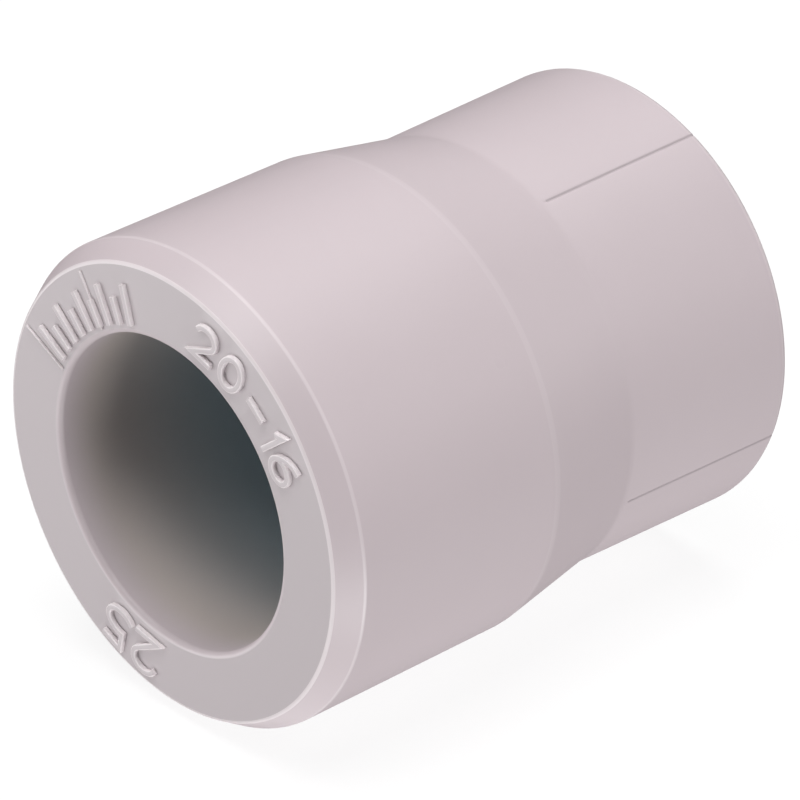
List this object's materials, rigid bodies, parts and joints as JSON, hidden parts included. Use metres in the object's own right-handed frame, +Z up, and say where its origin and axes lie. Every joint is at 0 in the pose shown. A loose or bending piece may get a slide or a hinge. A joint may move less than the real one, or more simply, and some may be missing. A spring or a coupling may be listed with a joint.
{
  "type": "pipe reducer",
  "caption": "Straight concentric reducer for socket-fusion plastic pipe: chamfered large end, rounded shoulder, narrower end, and a plain socket in each end.",
  "frame": {"origin": "centre of the large end's face, on the pipe axis at the mouth of the large socket", "axes": "+X along the pipe axis from the large end to the small end, +Z up with the fitting lying on its side, +Y across"},
  "size_m": [0.036, 0.0296, 0.0296],
  "materials": {
    "moulded_ppr": "satin moulded polypropylene, warm light grey"
  },
  "bodies": {
    "root": {"reducer_body": "moulded_ppr"}
  },
  "joints": []
}
